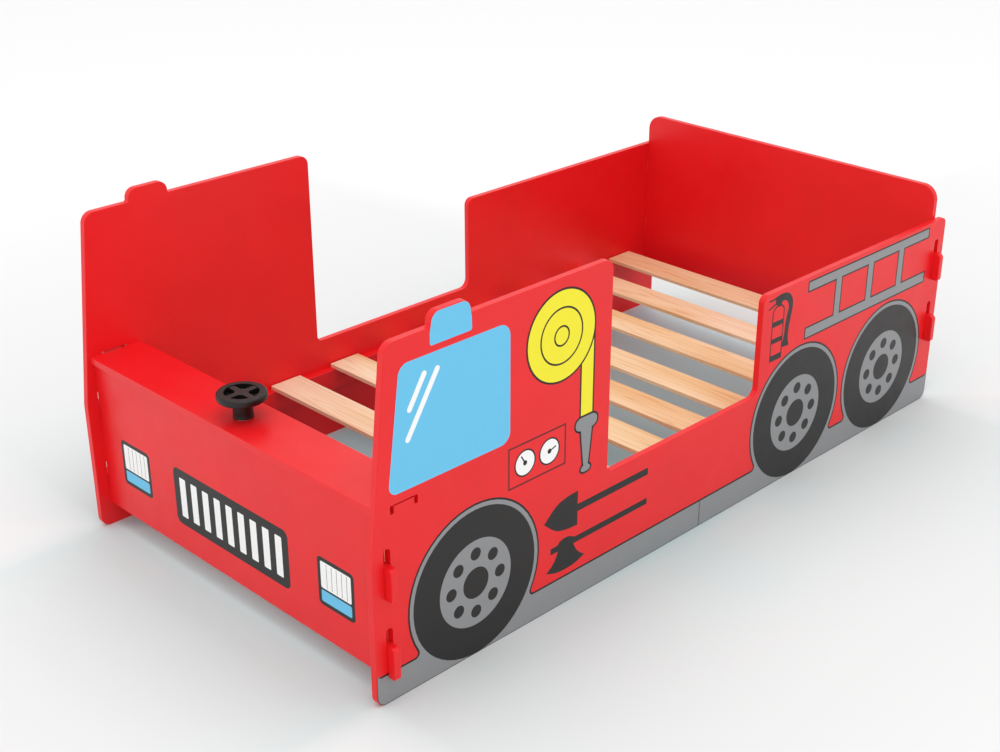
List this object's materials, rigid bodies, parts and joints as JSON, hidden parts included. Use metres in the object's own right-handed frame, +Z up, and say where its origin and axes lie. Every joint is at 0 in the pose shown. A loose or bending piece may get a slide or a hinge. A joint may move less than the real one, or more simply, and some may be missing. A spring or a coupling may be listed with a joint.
{
  "type": "fire engine toddler bed",
  "caption": "Low toddler bed in the shape of a fire engine: painted boards hook together round a slatted base, with a side entry and a toy steering wheel on the bonnet.",
  "frame": {"origin": "on the floor under the middle of the bed", "axes": "+Z up, -Y towards the engine's front, +X towards the engine's left side"},
  "size_m": [0.7786, 1.482, 0.59],
  "materials": {
    "red_paint": "medium density fibreboard with smooth satin red paint, rounded edges",
    "pine": "planed pine, unvarnished",
    "beech_dowel": "turned beech",
    "zinc_steel": "bright zinc plate",
    "black_plastic": "moulded black plastic with a slight sheen",
    "white_nylon": "natural nylon",
    "brass": "turned brass"
  },
  "bodies": {
    "bed": {"side_panel_left": "red_paint", "side_panel_right": "red_paint", "front_panel": "red_paint", "bonnet_panel": "red_paint", "rear_panel": "red_paint", "slat_rail_left": "red_paint", "slat_rail_right": "red_paint", "rail_screws_left": "zinc_steel", "rail_screws_right": "zinc_steel", "slat_01": "pine", "slat_02": "pine", "slat_03": "pine", "slat_04": "pine", "slat_05": "pine", "slat_06": "pine", "slat_07": "pine", "slat_08": "pine", "slat_09": "pine", "slat_10": "pine", "slat_pegs": "beech_dowel", "steering_bush": "white_nylon"},
    "steering": {"steering_wheel": "black_plastic", "steering_insert": "brass", "steering_washer": "zinc_steel", "steering_bolt": "zinc_steel"}
  },
  "joints": [
    {"name": "steering_turn", "type": "hinge", "parent": "bed", "child": "steering", "pos_m": [0, -0.677, 0.332], "axis": [0, 0, 1], "continuous": true}
  ]
}
